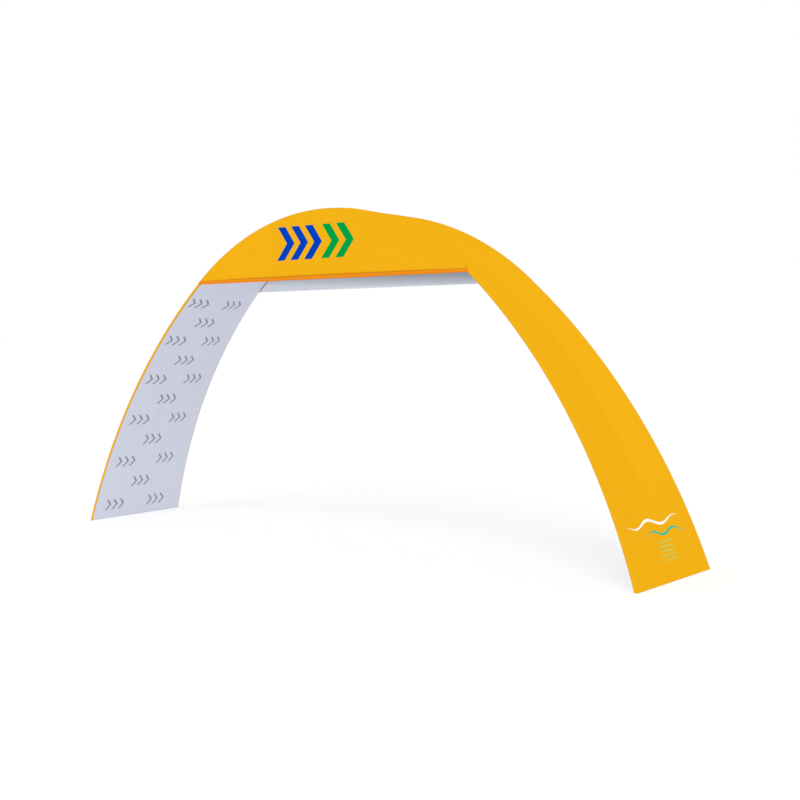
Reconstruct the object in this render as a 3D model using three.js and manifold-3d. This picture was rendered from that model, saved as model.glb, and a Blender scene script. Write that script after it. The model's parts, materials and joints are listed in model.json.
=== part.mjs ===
// Arch display stand: two bent tube arches, joined by spreader bars and foot bars, dressed in
// a stretched cloth cover. An outer skin and an inner skin are sewn together round the two arches.
// The head of the arch is closed in front and behind by a flat, D-shaped header panel, and the
// front header hangs a pocket with a straight rod along its lower edge.
//
// Millimetres, +X along the span, +Y from front to back, +Z up, origin on the ground in the middle.
import * as THREE from 'three';
import { mergeVertices } from 'three/addons/utils/BufferGeometryUtils.js';
import Module from 'manifold-3d';

const wasm = await Module();
wasm.setup();

// ---- Driving dimensions ------------------------------------------------------------------
const ARCH_HEIGHT = 3000; // outer face of the cloth at the top of the front arch
const CROWN_RADIUS = 2527; // the crown is one arc
const CROWN_ANGLE = THREE.MathUtils.degToRad(40.36); // its half angle, where each leg takes over
const LEG_RADIUS = 5279; // each leg is a flatter arc, tangent to the crown
const FOOT_HALF_DEPTH = 573; // from the middle to the front face and to the back face, at the ground
const LEAN = 0.07; // both faces lean in by this much for each unit of height
const BACK_DROP = 41; // the back arch has the same bend and stands this much lower

const TUBE_RADIUS = 12.5; // arch tubes and the header rod
const TUBE_BORE = 10.5;
const SPREADER_RADIUS = 10;
const SPREADER_BORE = 8;
const JOINT_GAP = 0.3; // between pieces that touch

const CLOTH = 1.5;
const SLEEVE_ROOM = 1.1; // between a tube and the cloth round it
const SLEEVE_RADIUS = TUBE_RADIUS + SLEEVE_ROOM + CLOTH; // outer face of the cloth round a tube
const SEAM_ANGLE = THREE.MathUtils.degToRad(159); // round the sleeve, from outermost to the seam
const LEG_DRAW = 30; // how far tension draws the skins in, at the most, below the outer spreaders
const CROWN_DRAW = 4; // between the spreaders
// Where the valley of the outer skin runs, as parts of the way from the front to the back arch.
const VALLEY = { spreader: 0.15, middle: 0.58, foot: 0.53 };
const VALLEY_CROSSING = 1.3; // 1 for a steady crossing of the shoulder; more starts it slower
const VALLEY_ROUNDING = 0.25; // 0 for straight sides; more makes the valley steep and the edges flat

const FOOT_BAR = { width: 20, height: 6, overhang: 6 }; // overhang past each tube's middle
const HEADER_FRONT_BOTTOM = 2382; // underside of the rod pocket
const HEADER_BACK_BOTTOM = 2308; // lower edge of the back header
const HEADER_REACH = THREE.MathUtils.degToRad(30); // round the sleeve, from outermost to the arched edge
const HEADER_CORNER = 6; // height of a header panel where its two edges meet
const POCKET_INSET = 13; // from the outer line of the arch to the square end of the pocket
const END_ROOM = 2; // between a sleeve and the ends of the rod and its pocket

// ---- Facets ------------------------------------------------------------------------------
const CROWN_STEPS = 24; // an even number
const LEG_STEPS = 14;
const SPREADER_STEP = 6; // the outer spreaders are this many steps from the top
const SPAN_STEPS = 8; // across a skin, between its two arches; an even number
const WRAP_STEPS = 3; // round each quarter of a sleeve
const RIM_STEPS = 2; // from the face to the arched edge of a header
const TUBE_SEGMENTS = 5; // half the sides of a round section

// ---- The line of an arch -----------------------------------------------------------------
// Stations along an arch are angles of its outward direction from straight up, right side positive.
const quarter = Math.PI / 2;
const crownCentreHeight = ARCH_HEIGHT - CROWN_RADIUS;
const legCentre = {
  x: (CROWN_RADIUS - LEG_RADIUS) * Math.sin(CROWN_ANGLE),
  z: crownCentreHeight + (CROWN_RADIUS - LEG_RADIUS) * Math.cos(CROWN_ANGLE),
};
const FOOT_ANGLE = Math.acos(-legCentre.z / LEG_RADIUS);
const CROWN_STEP = CROWN_ANGLE / (CROWN_STEPS / 2);
const LEG_STEP = (FOOT_ANGLE - CROWN_ANGLE) / LEG_STEPS;
const LAST_RUN = FOOT_ANGLE - LEG_STEP / 2; // direction of the last facet of a leg
const SPREADER_ANGLE = CROWN_STEP * SPREADER_STEP;

function archStations() {
  const right = [];
  for (let k = 0; k <= CROWN_STEPS / 2; k += 1) right.push(k * CROWN_STEP);
  for (let k = 1; k <= LEG_STEPS; k += 1) right.push(CROWN_ANGLE + k * LEG_STEP);
  const left = right.slice(1).reverse().map((angle) => -angle);
  return [...left, ...right];
}

// A point of the front arch's outline, inset towards the inside of the arch.
function outline(angle, inset) {
  const turn = Math.abs(angle);
  const side = Math.sign(angle);
  if (turn <= CROWN_ANGLE) {
    const radius = CROWN_RADIUS - inset;
    return { x: side * radius * Math.sin(turn), z: crownCentreHeight + radius * Math.cos(turn) };
  }
  const radius = LEG_RADIUS - inset;
  return { x: side * (legCentre.x + radius * Math.sin(turn)), z: legCentre.z + radius * Math.cos(turn) };
}

// The station where the outline, inset, comes down to a height.
function angleAtHeight(height, inset) {
  const junction = outline(CROWN_ANGLE, inset).z;
  if (height > junction) return Math.acos((height - crownCentreHeight) / (CROWN_RADIUS - inset));
  return Math.acos((height - legCentre.z) / (LEG_RADIUS - inset));
}

const faceDepth = (height) => FOOT_HALF_DEPTH - LEAN * height;

// A point of the front (face -1) or back (face +1) arch. Depth is measured in from that face.
// At a foot station the point slides along the leg to the ground.
function archPoint(face, angle, inset, depth) {
  const point = outline(angle, inset);
  if (face > 0) point.z -= BACK_DROP;
  const turn = Math.abs(angle);
  if (turn >= FOOT_ANGLE) {
    const slide = point.z / Math.sin(LAST_RUN);
    point.x += Math.sign(angle) * slide * Math.cos(LAST_RUN);
    point.z = 0;
  }
  return new THREE.Vector3(point.x, face * (faceDepth(point.z) - depth), point.z);
}

// A point of the round sleeve, at an angle round it: 0 outermost, 90 degrees on the face.
function sleevePoint(face, angle, round, radius) {
  const inset = SLEEVE_RADIUS - radius * Math.cos(round);
  const depth = SLEEVE_RADIUS - radius * Math.sin(round);
  return archPoint(face, angle, inset, depth);
}

// Length along the outer line from the top to a station.
function lengthAt(angle) {
  const turn = Math.abs(angle);
  return Math.min(turn, CROWN_ANGLE) * CROWN_RADIUS + Math.max(turn - CROWN_ANGLE, 0) * LEG_RADIUS;
}

// From 0 at the outer spreaders to 1 at the feet.
function downLeg(angle) {
  const [start, end] = [SPREADER_ANGLE, FOOT_ANGLE].map(lengthAt);
  return THREE.MathUtils.clamp((lengthAt(angle) - start) / (end - start), 0, 1);
}

// How far the skins are drawn in at a station: nothing at the top, the spreaders and the feet,
// and most half way down a leg. Near a foot it goes off quickly.
function drawAt(angle) {
  const turn = Math.abs(angle);
  if (turn <= SPREADER_ANGLE) return CROWN_DRAW * Math.sin((Math.PI * turn) / SPREADER_ANGLE) ** 2;
  const down = downLeg(angle);
  const swell = Math.sin(Math.PI * down);
  return LEG_DRAW * (down > 0.5 ? Math.sqrt(Math.max(swell, 0)) : swell);
}

// The outer skin falls to a long valley. It leaves the front arch at an outer spreader, crosses
// the shoulder to the middle of the skin and runs down the leg.
function valleyAt(angle) {
  const down = downLeg(angle) * 2;
  const crossing = Math.sin(quarter * Math.min(down, 1)) ** VALLEY_CROSSING;
  const { spreader, middle, foot } = VALLEY;
  return spreader + (middle - spreader) * crossing - (middle - foot) * Math.max(down - 1, 0);
}

function valleyShape(angle, across) {
  const valley = valleyAt(angle);
  const side = across < valley ? (valley - across) / valley : (across - valley) / (1 - valley);
  return (1 - side) * (1 - VALLEY_ROUNDING * side);
}

// The inner skin is drawn in evenly.
const evenShape = (angle, across) => 4 * across * (1 - across);

// A point between the two arches at a station; across runs from 0 in front to 1 behind.
function spanPoint(angle, inset, across, shape) {
  const drawn = inset + drawAt(angle) * shape(angle, across);
  const front = archPoint(-1, angle, drawn, SLEEVE_RADIUS);
  const back = archPoint(1, angle, drawn, SLEEVE_RADIUS);
  return front.lerp(back, across);
}

// ---- Closed meshes -----------------------------------------------------------------------
function closedGeometry(points, triangles) {
  const geometry = new THREE.BufferGeometry();
  const position = new Float32Array(points.flatMap((point) => [point.x, point.y, point.z]));
  geometry.setAttribute('position', new THREE.BufferAttribute(position, 3));
  geometry.setIndex(triangles);
  geometry.computeVertexNormals();
  return geometry;
}

// Cloth of even thickness: a grid of points on its outer face and the same grid on its inner face.
function sheetGeometry(outer, inner) {
  const rows = outer.length;
  const columns = outer[0].length;
  const points = [...outer.flat(), ...inner.flat()];
  const under = rows * columns;
  const at = (row, column) => row * columns + column;
  const triangles = [];
  const quad = (a, b, c, d) => triangles.push(a, b, c, a, c, d);
  for (let row = 0; row + 1 < rows; row += 1) {
    for (let column = 0; column + 1 < columns; column += 1) {
      const corners = [at(row, column), at(row + 1, column), at(row + 1, column + 1), at(row, column + 1)];
      quad(...corners);
      quad(...corners.map((index) => index + under).reverse());
    }
    quad(at(row + 1, 0), at(row, 0), at(row, 0) + under, at(row + 1, 0) + under);
    const last = columns - 1;
    quad(at(row, last), at(row + 1, last), at(row + 1, last) + under, at(row, last) + under);
  }
  for (let column = 0; column + 1 < columns; column += 1) {
    quad(at(0, column), at(0, column + 1), at(0, column + 1) + under, at(0, column) + under);
    const last = rows - 1;
    quad(at(last, column + 1), at(last, column), at(last, column) + under, at(last, column + 1) + under);
  }
  return closedGeometry(points, triangles);
}

function toSolid(geometry) {
  const bare = geometry.clone();
  bare.deleteAttribute('normal');
  bare.deleteAttribute('uv');
  const merged = mergeVertices(bare, 1e-3);
  const mesh = new wasm.Mesh({
    numProp: 3,
    vertProperties: new Float32Array(merged.attributes.position.array),
    triVerts: new Uint32Array(merged.index.array),
  });
  return new wasm.Manifold(mesh);
}

function fromSolid(solid) {
  const mesh = solid.getMesh();
  const geometry = new THREE.BufferGeometry();
  geometry.setAttribute('position', new THREE.BufferAttribute(new Float32Array(mesh.vertProperties), 3));
  geometry.setIndex(Array.from(mesh.triVerts));
  geometry.computeVertexNormals();
  return geometry;
}

function boxSolid(min, max) {
  const box = new THREE.Box3(new THREE.Vector3(...min), new THREE.Vector3(...max));
  const size = box.getSize(new THREE.Vector3());
  const centre = box.getCenter(new THREE.Vector3());
  return toSolid(new THREE.BoxGeometry(size.x, size.y, size.z).translate(centre.x, centre.y, centre.z));
}

// ---- Tubes -------------------------------------------------------------------------------
function ringShape(radius, bore) {
  const ring = new THREE.Shape().absarc(0, 0, radius, 0, Math.PI * 2, false);
  if (bore > 0) ring.holes.push(new THREE.Path().absarc(0, 0, bore, 0, Math.PI * 2, true));
  return ring;
}

function tubeAlong(path, steps, radius, bore) {
  const options = { steps, curveSegments: TUBE_SEGMENTS, extrudePath: path };
  return new THREE.ExtrudeGeometry(ringShape(radius, bore), options);
}

// The middle of the sleeve of one arch, between two stations.
class ArchLine extends THREE.Curve {
  constructor(face, start, end) {
    super();
    Object.assign(this, { face, start, end });
  }

  getPoint(t, target = new THREE.Vector3()) {
    const angle = this.start + (this.end - this.start) * t;
    const point = outline(angle, SLEEVE_RADIUS);
    if (this.face > 0) point.z -= BACK_DROP;
    return target.set(point.x, this.face * (faceDepth(point.z) - SLEEVE_RADIUS), point.z);
  }
}

function crownLine(face) {
  const trim = JOINT_GAP / 2 / CROWN_RADIUS;
  return new ArchLine(face, -CROWN_ANGLE + trim, CROWN_ANGLE - trim);
}

// A leg runs one station past the ground, to be cut there.
function legLine(face, side) {
  const trim = JOINT_GAP / 2 / LEG_RADIUS;
  return new ArchLine(face, side * (CROWN_ANGLE + trim), side * (FOOT_ANGLE + LEG_STEP));
}

function crownTube(face, radius = TUBE_RADIUS, bore = TUBE_BORE) {
  return tubeAlong(crownLine(face), CROWN_STEPS, radius, bore);
}

const groundReach = ARCH_HEIGHT * 2;

function legTube(face, side) {
  const tube = toSolid(tubeAlong(legLine(face, side), LEG_STEPS + 1, TUBE_RADIUS, TUBE_BORE));
  const standing = FOOT_BAR.height + JOINT_GAP;
  const above = boxSolid([-groundReach, -groundReach, standing], [groundReach, groundReach, groundReach]);
  return fromSolid(tube.intersect(above));
}

// A straight tube from the middle of one arch tube to the other, its ends shaped to fit them.
function spreaderBar(angle) {
  const ends = [-1, 1].map((face) => new ArchLine(face, angle, angle).getPoint(0));
  let bar = toSolid(tubeAlong(new THREE.LineCurve3(...ends), 1, SPREADER_RADIUS, SPREADER_BORE));
  for (const face of [-1, 1]) bar = bar.subtract(toSolid(crownTube(face, TUBE_RADIUS + JOINT_GAP * 2, 0)));
  return fromSolid(bar);
}

// ---- Cloth -------------------------------------------------------------------------------
function range(start, end, steps) {
  return Array.from({ length: steps + 1 }, (_, k) => start + ((end - start) * k) / steps);
}

// The outer skin: from its seam round the front sleeve, over to the back arch and round that sleeve.
function outerSkin() {
  const wrap = [...range(SEAM_ANGLE, quarter, WRAP_STEPS), ...range(quarter, 0, WRAP_STEPS).slice(1)];
  const across = (angle) => [
    ...range(0, valleyAt(angle), SPAN_STEPS / 2).slice(1),
    ...range(valleyAt(angle), 1, SPAN_STEPS / 2).slice(1, -1),
  ];
  const face = (radius, inset) => archStations().map((angle) => [
    ...wrap.map((round) => sleevePoint(-1, angle, round, radius)),
    ...across(angle).map((part) => spanPoint(angle, inset, part, valleyShape)),
    ...[...wrap].reverse().map((round) => sleevePoint(1, angle, round, radius)),
  ]);
  return sheetGeometry(face(SLEEVE_RADIUS, 0), face(SLEEVE_RADIUS - CLOTH, CLOTH));
}

// The inner skin: from the same seams, across on the inside of the arch.
function innerSkin() {
  const seamGap = JOINT_GAP / SLEEVE_RADIUS;
  const wrap = range(SEAM_ANGLE + seamGap, Math.PI, 1);
  const across = range(0, 1, SPAN_STEPS).slice(1, -1);
  const face = (radius, inset) => archStations().map((angle) => [
    ...wrap.map((round) => sleevePoint(-1, angle, round, radius)),
    ...across.map((part) => spanPoint(angle, inset, part, evenShape)),
    ...[...wrap].reverse().map((round) => sleevePoint(1, angle, round, radius)),
  ]);
  const inside = face(SLEEVE_RADIUS, SLEEVE_RADIUS * 2);
  const hidden = face(SLEEVE_RADIUS - CLOTH, SLEEVE_RADIUS * 2 - CLOTH);
  return sheetGeometry(hidden, inside);
}

// A header panel: a D with a straight lower edge, laid against the face of the arch. Its arched
// edge follows the sleeve round towards the outside.
function headerPanel(face, bottom) {
  const drop = face > 0 ? BACK_DROP : 0;
  const corner = angleAtHeight(bottom + drop + HEADER_CORNER, SLEEVE_RADIUS);
  const closest = CROWN_STEP / 8; // a station nearer to the corner than this is left out
  const inner = archStations().filter((angle) => Math.abs(angle) < corner - closest);
  const stations = [-corner, ...inner, corner];
  if (face > 0) stations.reverse();
  const layer = (clear) => stations.map((angle) => {
    const rim = range(quarter, HEADER_REACH, RIM_STEPS).map(
      (round) => sleevePoint(face, angle, round, SLEEVE_RADIUS + clear),
    );
    const foot = new THREE.Vector3(rim[0].x, face * (faceDepth(bottom) + clear), bottom);
    return [foot, ...rim];
  });
  return sheetGeometry(layer(JOINT_GAP + CLOTH), layer(JOINT_GAP));
}

// ---- The rod and its pocket along the front header ---------------------------------------
const rodHeight = HEADER_FRONT_BOTTOM + SLEEVE_RADIUS;
const frontPanelBottom = rodHeight + SLEEVE_RADIUS + JOINT_GAP;
const rodDepth = -faceDepth(rodHeight) - JOINT_GAP - CLOTH / 2;

function straightTube(halfLength, height, radius, bore) {
  const ends = [-1, 1].map((side) => new THREE.Vector3(side * halfLength, rodDepth, height));
  return tubeAlong(new THREE.LineCurve3(...ends), 1, radius, bore);
}

// The room that the sleeve of the front arch takes up, where the pocket meets it.
function frontSleeveRoom() {
  const line = new ArchLine(-1, -CROWN_ANGLE - 2 * LEG_STEP, CROWN_ANGLE + 2 * LEG_STEP);
  const acrossFlats = Math.cos(quarter / TUBE_SEGMENTS);
  return toSolid(tubeAlong(line, CROWN_STEPS * 2, (SLEEVE_RADIUS + END_ROOM) / acrossFlats, 0));
}

// The rod lies on the bottom of its pocket and ends short of the two sleeves.
function headerRod() {
  const top = rodHeight + TUBE_RADIUS;
  const inset = SLEEVE_RADIUS * 2 + END_ROOM;
  const halfLength = outline(angleAtHeight(top, inset), inset).x;
  const lying = rodHeight - SLEEVE_ROOM + JOINT_GAP * 1.5;
  return straightTube(halfLength, lying, TUBE_RADIUS, TUBE_BORE);
}

// The pocket goes on across the front of the sleeves, where only its front half has room.
function rodPocket() {
  const halfLength = outline(angleAtHeight(rodHeight, 0), 0).x - POCKET_INSET;
  const pocket = toSolid(straightTube(halfLength, rodHeight, SLEEVE_RADIUS, SLEEVE_RADIUS - CLOTH));
  return fromSolid(pocket.subtract(frontSleeveRoom()));
}

// ---- Foot bars ---------------------------------------------------------------------------
// A flat bar on the ground between the feet of the two arches, along the line between them.
function placeFootBar(mesh, side) {
  const feet = [-1, 1].map((face) => archPoint(face, side * FOOT_ANGLE, SLEEVE_RADIUS, SLEEVE_RADIUS));
  const run = feet[1].clone().sub(feet[0]);
  const leanIn = FOOT_BAR.height / 2 / Math.tan(FOOT_ANGLE);
  mesh.position.copy(feet[0]).lerp(feet[1], 0.5);
  mesh.position.x -= side * leanIn;
  mesh.position.z = FOOT_BAR.height / 2;
  mesh.rotation.z = Math.atan2(run.y, run.x) - quarter;
  return mesh;
}

const feetApart = faceDepth(0) - SLEEVE_RADIUS;
const footBar = () => new THREE.BoxGeometry(
  FOOT_BAR.width,
  (feetApart + FOOT_BAR.overhang) * 2,
  FOOT_BAR.height,
);

// ---- Finishes ----------------------------------------------------------------------------
const finish = (color, roughness, metalness) => new THREE.MeshStandardMaterial({ color, roughness, metalness });
const yellowCloth = () => finish(0xf5b517, 0.75, 0);
const greyCloth = () => finish(0xcccfde, 0.8, 0);
const orangeCloth = () => finish(0xf28a14, 0.75, 0);
const aluminium = () => finish(0xc4c6c8, 0.35, 1);

// ---- The stand ---------------------------------------------------------------------------
const stand = new THREE.Group();

function add(name, geometry, material) {
  const mesh = new THREE.Mesh(geometry, material);
  mesh.name = name;
  stand.add(mesh);
  return mesh;
}

for (const [place, face] of [['front', -1], ['back', 1]]) {
  add(`${place}_crown_tube`, crownTube(face), aluminium());
  add(`${place}_left_leg_tube`, legTube(face, -1), aluminium());
  add(`${place}_right_leg_tube`, legTube(face, 1), aluminium());
}
add('left_spreader', spreaderBar(-SPREADER_ANGLE), aluminium());
add('top_spreader', spreaderBar(0), aluminium());
add('right_spreader', spreaderBar(SPREADER_ANGLE), aluminium());
placeFootBar(add('left_foot_bar', footBar(), aluminium()), -1);
placeFootBar(add('right_foot_bar', footBar(), aluminium()), 1);
add('header_rod', headerRod(), aluminium());

add('outer_skin', outerSkin(), yellowCloth());
add('inner_skin', innerSkin(), greyCloth());
add('front_header', headerPanel(-1, frontPanelBottom), yellowCloth());
add('back_header', headerPanel(1, HEADER_BACK_BOTTOM), yellowCloth());
add('rod_pocket', rodPocket(), orangeCloth());

export default stand;
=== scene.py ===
# %% [markdown]
# # An arch display stand
#
# An event arch has two parts: a light frame of bent aluminium tube, and a cover of stretched
# polyester knit that is pulled over it like a pillowcase. The frame is already made, as CAD
# solids in metres, with +Z up and the origin on the ground between the feet. This lesson makes
# the cloth, colours everything and lights it.
#
# The first cell loads the frame and keeps its box.

# %% Load the frame
import json
import math
import bmesh
import bpy
from mathutils import Matrix, Vector


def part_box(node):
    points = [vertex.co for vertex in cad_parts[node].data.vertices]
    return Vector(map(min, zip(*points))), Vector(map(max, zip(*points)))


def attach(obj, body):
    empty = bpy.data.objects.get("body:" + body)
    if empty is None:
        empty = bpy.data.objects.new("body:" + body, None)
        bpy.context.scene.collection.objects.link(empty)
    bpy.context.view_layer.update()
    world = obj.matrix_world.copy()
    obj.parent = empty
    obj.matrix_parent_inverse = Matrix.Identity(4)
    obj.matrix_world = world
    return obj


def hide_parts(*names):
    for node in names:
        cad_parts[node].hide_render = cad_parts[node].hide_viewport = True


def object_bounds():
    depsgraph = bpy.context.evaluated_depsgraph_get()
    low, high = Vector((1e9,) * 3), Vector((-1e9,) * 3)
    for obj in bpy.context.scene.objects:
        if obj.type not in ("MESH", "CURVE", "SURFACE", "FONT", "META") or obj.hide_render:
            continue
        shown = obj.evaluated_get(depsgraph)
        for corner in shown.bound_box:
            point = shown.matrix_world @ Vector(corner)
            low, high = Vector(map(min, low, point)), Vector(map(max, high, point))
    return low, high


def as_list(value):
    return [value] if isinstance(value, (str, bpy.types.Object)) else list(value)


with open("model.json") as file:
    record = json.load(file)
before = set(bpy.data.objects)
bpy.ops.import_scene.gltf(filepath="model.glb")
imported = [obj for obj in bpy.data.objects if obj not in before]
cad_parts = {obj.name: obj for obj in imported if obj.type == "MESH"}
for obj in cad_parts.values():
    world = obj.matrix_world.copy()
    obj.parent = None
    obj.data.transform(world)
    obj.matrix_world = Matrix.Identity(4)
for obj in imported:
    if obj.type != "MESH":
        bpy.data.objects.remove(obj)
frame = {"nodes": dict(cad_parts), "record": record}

frame_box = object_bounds()
low, high = (Vector(corner) for corner in frame_box)
print(f"the stand is {high.x - low.x:.2f} m wide, {high.y - low.y:.2f} m deep and {high.z:.2f} m high")

# %% [markdown]
# ## The line of the arch
#
# The tubes are rolled to two radii, one for the crown and a flatter one for each leg, and the
# two arcs share a tangent where they meet. So a point of the cloth can be found from how far
# along the arch it is. Lengths are measured from the top, positive to the right.
#
# A curve object could do this too. A function is used because the same line is needed at many
# insets: for the outside of the cloth, for its inside and for the headers.

# %% Sizes of the arch
CROWN_RADIUS = 2.527
CROWN_HALF = math.radians(40.36)  # half of the crown's angle
LEG_RADIUS = 5.279
FOOT_DEPTH = high.y  # from the middle to the front or back face, at the ground
LEAN = 0.07  # both faces lean inwards as they rise
BACK_DROP = 0.041  # the back arch stands a little lower
SLEEVE = 0.0151  # outer radius of the cloth round a tube
QUARTER = math.pi / 2

crown_z = high.z - CROWN_RADIUS
leg_x = (CROWN_RADIUS - LEG_RADIUS) * math.sin(CROWN_HALF)
leg_z = crown_z + (CROWN_RADIUS - LEG_RADIUS) * math.cos(CROWN_HALF)
CROWN_LENGTH = CROWN_RADIUS * CROWN_HALF
print(f"half of the crown is {CROWN_LENGTH:.3f} m long")


# %% From a length along the arch to a place
def direction(length):
    """The angle between straight up and the outward direction."""
    if abs(length) <= CROWN_LENGTH:
        return abs(length) / CROWN_RADIUS
    return CROWN_HALF + (abs(length) - CROWN_LENGTH) / LEG_RADIUS


def arch_line(face, length, inset):
    """x and z of the front (-1) or back (1) arch, moved in from its outer line by inset."""
    angle = direction(length)
    side = math.copysign(1, length)
    in_crown = angle <= CROWN_HALF
    radius = (CROWN_RADIUS if in_crown else LEG_RADIUS) - inset
    x = radius * math.sin(angle) + (0 if in_crown else leg_x)
    z = radius * math.cos(angle) + (crown_z if in_crown else leg_z)
    return side * x, z - (BACK_DROP if face > 0 else 0)


def length_at(face, height, inset):
    """The length at which the arch, moved in by inset, comes down to a height."""
    height += BACK_DROP if face > 0 else 0
    angle = math.acos((height - crown_z) / (CROWN_RADIUS - inset))
    if angle > CROWN_HALF:
        angle = math.acos((height - leg_z) / (LEG_RADIUS - inset))
        return CROWN_LENGTH + (angle - CROWN_HALF) * LEG_RADIUS
    return angle * CROWN_RADIUS


def face_depth(height):
    return FOOT_DEPTH - LEAN * height


HALF_LENGTH = length_at(-1, 0, 0)
print(f"from the top to the ground the arch is {HALF_LENGTH:.3f} m long")

# %% [markdown]
# ## Pulled tight, but not flat
#
# A knit that is pulled along a bend wants to cut the corner, so between the two tubes both
# skins are drawn in towards the inside of the arch. The draw is nothing at the spreader bars,
# next to nothing at the feet, and most half way down a leg; near a foot it goes off quickly. The
# outer skin falls to a valley: a long soft crease that leaves the front tube at an outer spreader
# bar, crosses the shoulder and runs down the middle of the leg. The inner skin is drawn in evenly.
#
# A cloth simulation would find much the same shape, but also new wrinkles each time it ran.
# A sine along the leg and a short sum across it do it too, and stay as they are. What is left
# over is laid in one by one: long soft troughs and ridges, one row of a table each.

# %% How far the skins are drawn in
SPREADER = CROWN_LENGTH / 2  # from the top to the outer spreader bars
LEG_DRAW = 0.030  # at its most, half way down a leg
CROWN_DRAW = 0.004  # at its most, between two spreader bars
LAST_DRAWN = 0.9999  # part of the way down a leg, after which the draw goes off no further
VALLEY_AT_SPREADER = 0.15  # part of the way from front to back where the outer skin lies lowest
VALLEY_MIDDLE = 0.58  # the same, half way down a leg
VALLEY_FOOT = 0.53  # the same, at the ground
CROSSING = 1.3  # above 1, the valley crosses the shoulder later
CREASE = 0.03  # how softly the valley turns, as a part of the width
FLATTER = 0.25  # how much less the outer skin slopes near the tubes


def down_leg(length):
    """From 0 at the outer spreader bar to 1 at the foot."""
    return min(1, max(0, (abs(length) - SPREADER) / (HALF_LENGTH - SPREADER)))


def drawn(length):
    """How far the skins are drawn in at their lowest."""
    if abs(length) < SPREADER:
        return CROWN_DRAW * math.sin(math.pi * abs(length) / SPREADER) ** 2
    down = down_leg(length)
    swell = math.sin(math.pi * min(down, LAST_DRAWN))
    return LEG_DRAW * (math.sqrt(swell) if down > 0.5 else swell)


def valley(length, across):
    """1 on the crease of the outer skin and 0 at the tubes; flatter near the tubes."""
    down = 2 * down_leg(length)
    crossing = math.sin(QUARTER * min(down, 1)) ** CROSSING
    lowest = VALLEY_AT_SPREADER + (VALLEY_MIDDLE - VALLEY_AT_SPREADER) * crossing
    lowest += (VALLEY_FOOT - VALLEY_MIDDLE) * max(down - 1, 0)
    side = (lowest - across) / lowest if across < lowest else (across - lowest) / (1 - lowest)
    soft = math.sqrt(side ** 2 + CREASE ** 2) - CREASE
    return max(0, 1 - soft) * (1 - FLATTER * soft)


def even(length, across):
    """1 half way between the tubes and 0 at them."""
    return 4 * across * (1 - across)


most_drawn = drawn((SPREADER + HALF_LENGTH) / 2)
print(f"half way down a leg the skins are drawn in by {most_drawn * 1000:.0f} mm")

# %% Soft folds laid in one by one
# Each row: (length where it starts, length where it ends, across at the start, across at the
# end, half width in metres, rise in metres; a trough has a negative rise)
OUTER_FOLDS = [
    (0.92, 2.20, 0.14, 0.40, 0.110, -0.0055),
    (1.25, 2.60, 0.36, 0.46, 0.016, 0.0012),
    (1.35, 2.50, 0.46, 0.60, 0.020, 0.0018),
    (1.45, 2.35, 0.56, 0.72, 0.016, -0.0014),
    (1.50, 2.60, 0.68, 0.80, 0.018, 0.0016),
    (1.70, 2.80, 0.80, 0.88, 0.014, -0.0012),
    (1.20, 4.68, 0.11, 0.14, 0.032, 0.0026),
    (1.90, 4.50, 0.055, 0.05, 0.010, -0.0010),
    (2.20, 4.68, 0.95, 0.94, 0.012, -0.0010),
    (2.60, 4.68, 0.87, 0.85, 0.010, 0.0007),
    (2.90, 4.68, 0.30, 0.27, 0.022, 0.0010),
    (3.30, 4.69, 0.20, 0.18, 0.009, 0.0010),
    (3.50, 4.69, 0.68, 0.71, 0.010, 0.0012),
    (3.70, 4.69, 0.80, 0.82, 0.009, -0.0010),
    (-2.20, -0.92, 0.38, 0.14, 0.110, -0.0050),
    (-2.50, -1.30, 0.50, 0.34, 0.018, 0.0010),
    (-2.60, -1.45, 0.76, 0.62, 0.018, -0.0009),
    (-4.66, -1.30, 0.15, 0.10, 0.032, 0.0026),
    (-4.60, -2.10, 0.84, 0.88, 0.012, 0.0009),
    (-4.66, -2.60, 0.90, 0.92, 0.014, -0.0010),
    (-0.80, 0.80, 0.24, 0.28, 0.050, 0.0012),
    (-0.70, 0.82, 0.74, 0.70, 0.050, 0.0014),
]
INNER_FOLDS = [
    (-3.10, -1.75, 0.38, 0.70, 0.026, 0.0034),
    (-2.70, -1.70, 0.46, 0.84, 0.022, -0.0028),
    (-2.60, -1.72, 0.30, 0.52, 0.024, -0.0028),
    (-4.50, -2.90, 0.46, 0.40, 0.034, -0.0040),
    (-4.65, -3.10, 0.57, 0.56, 0.026, 0.0036),
    (-4.68, -3.30, 0.34, 0.36, 0.026, 0.0030),
    (-4.62, -3.70, 0.68, 0.62, 0.030, -0.0030),
    (-2.70, -1.72, 0.44, 0.66, 0.010, 0.0018),
    (-2.50, -1.74, 0.30, 0.40, 0.010, 0.0014),
    (-3.90, -1.80, 0.62, 0.72, 0.010, 0.0018),
    (-4.20, -2.20, 0.53, 0.60, 0.010, -0.0015),
    (-4.60, -2.60, 0.44, 0.50, 0.009, 0.0016),
    (-4.68, -3.20, 0.60, 0.58, 0.010, 0.0020),
    (-4.68, -3.60, 0.50, 0.47, 0.009, 0.0016),
    (-4.66, -3.50, 0.28, 0.30, 0.011, 0.0018),
    (-4.68, -3.80, 0.80, 0.78, 0.010, -0.0014),
    (-4.10, -2.40, 0.24, 0.30, 0.010, -0.0014),
    (-3.60, -1.80, 0.90, 0.86, 0.030, 0.0022),
    (1.75, 3.20, 0.62, 0.36, 0.028, 0.0040),
    (1.70, 2.70, 0.22, 0.48, 0.024, -0.0032),
    (2.40, 4.40, 0.30, 0.34, 0.010, 0.0010),
    (2.90, 4.60, 0.42, 0.50, 0.040, -0.0050),
    (3.20, 4.68, 0.60, 0.64, 0.028, 0.0040),
    (-0.80, 0.80, 0.50, 0.52, 0.060, -0.0014),
]


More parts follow.
